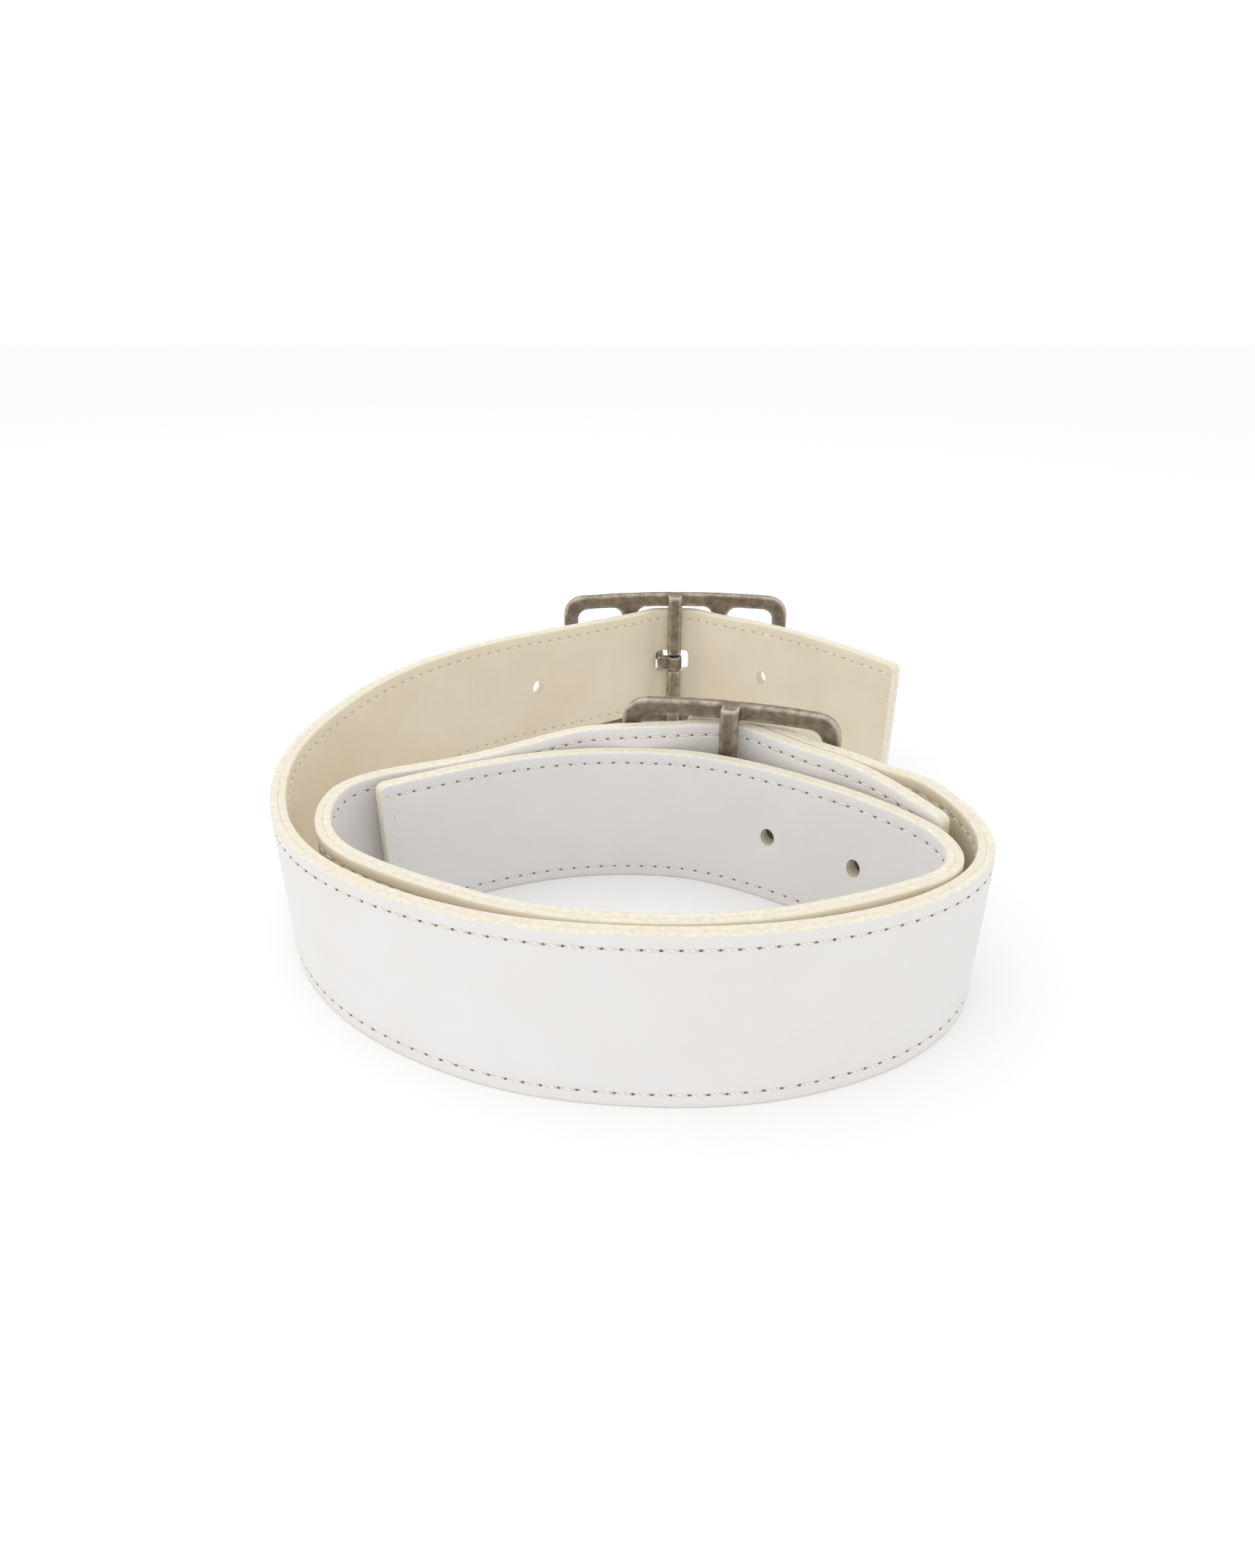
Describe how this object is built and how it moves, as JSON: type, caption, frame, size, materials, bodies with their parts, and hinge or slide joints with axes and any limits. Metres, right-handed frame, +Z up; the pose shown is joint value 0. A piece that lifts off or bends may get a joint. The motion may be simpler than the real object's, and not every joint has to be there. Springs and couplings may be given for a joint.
{
  "type": "double wrap waist belt",
  "caption": "Lined leather waist belt standing on edge in a loose double coil, with two strap layers, two slide buckles and swinging tongues.",
  "frame": {"origin": "on the ground under the middle of the whole coiled belt", "axes": "+Z up from the edge the belt stands on, +Y towards the open buckle behind the coil, +X to the right seen from the front of the coil"},
  "size_m": [0.173, 0.205, 0.0496],
  "materials": {
    "face_leather": "smooth white, soft sheen",
    "lining_leather": "matt cream",
    "thread": "off-white sewing thread",
    "cast_metal": "dark antique, rubbed"
  },
  "bodies": {
    "belt": {"outer_strap_face_leather": "face_leather", "outer_strap_lining": "lining_leather", "outer_strap_face_thread": "thread", "outer_strap_lining_thread": "thread", "inner_strap_face_leather": "face_leather", "inner_strap_lining": "lining_leather", "inner_strap_face_thread": "thread", "inner_strap_lining_thread": "thread", "buckle_a_frame": "cast_metal", "buckle_b_frame": "cast_metal"},
    "tongue_a": {"buckle_a_tongue": "cast_metal"},
    "tongue_b": {"buckle_b_tongue": "cast_metal"}
  },
  "joints": [
    {"name": "tongue_a_pivot", "type": "hinge", "parent": "belt", "child": "tongue_a", "pos_m": [0.01934, 0.08979, 0.0248], "axis": [0, 0, -1], "range_deg": [0, 40]},
    {"name": "tongue_b_pivot", "type": "hinge", "parent": "belt", "child": "tongue_b", "pos_m": [0.02896, -0.01349, 0.0248], "axis": [0, 0, -1], "range_deg": [0, 40]}
  ]
}
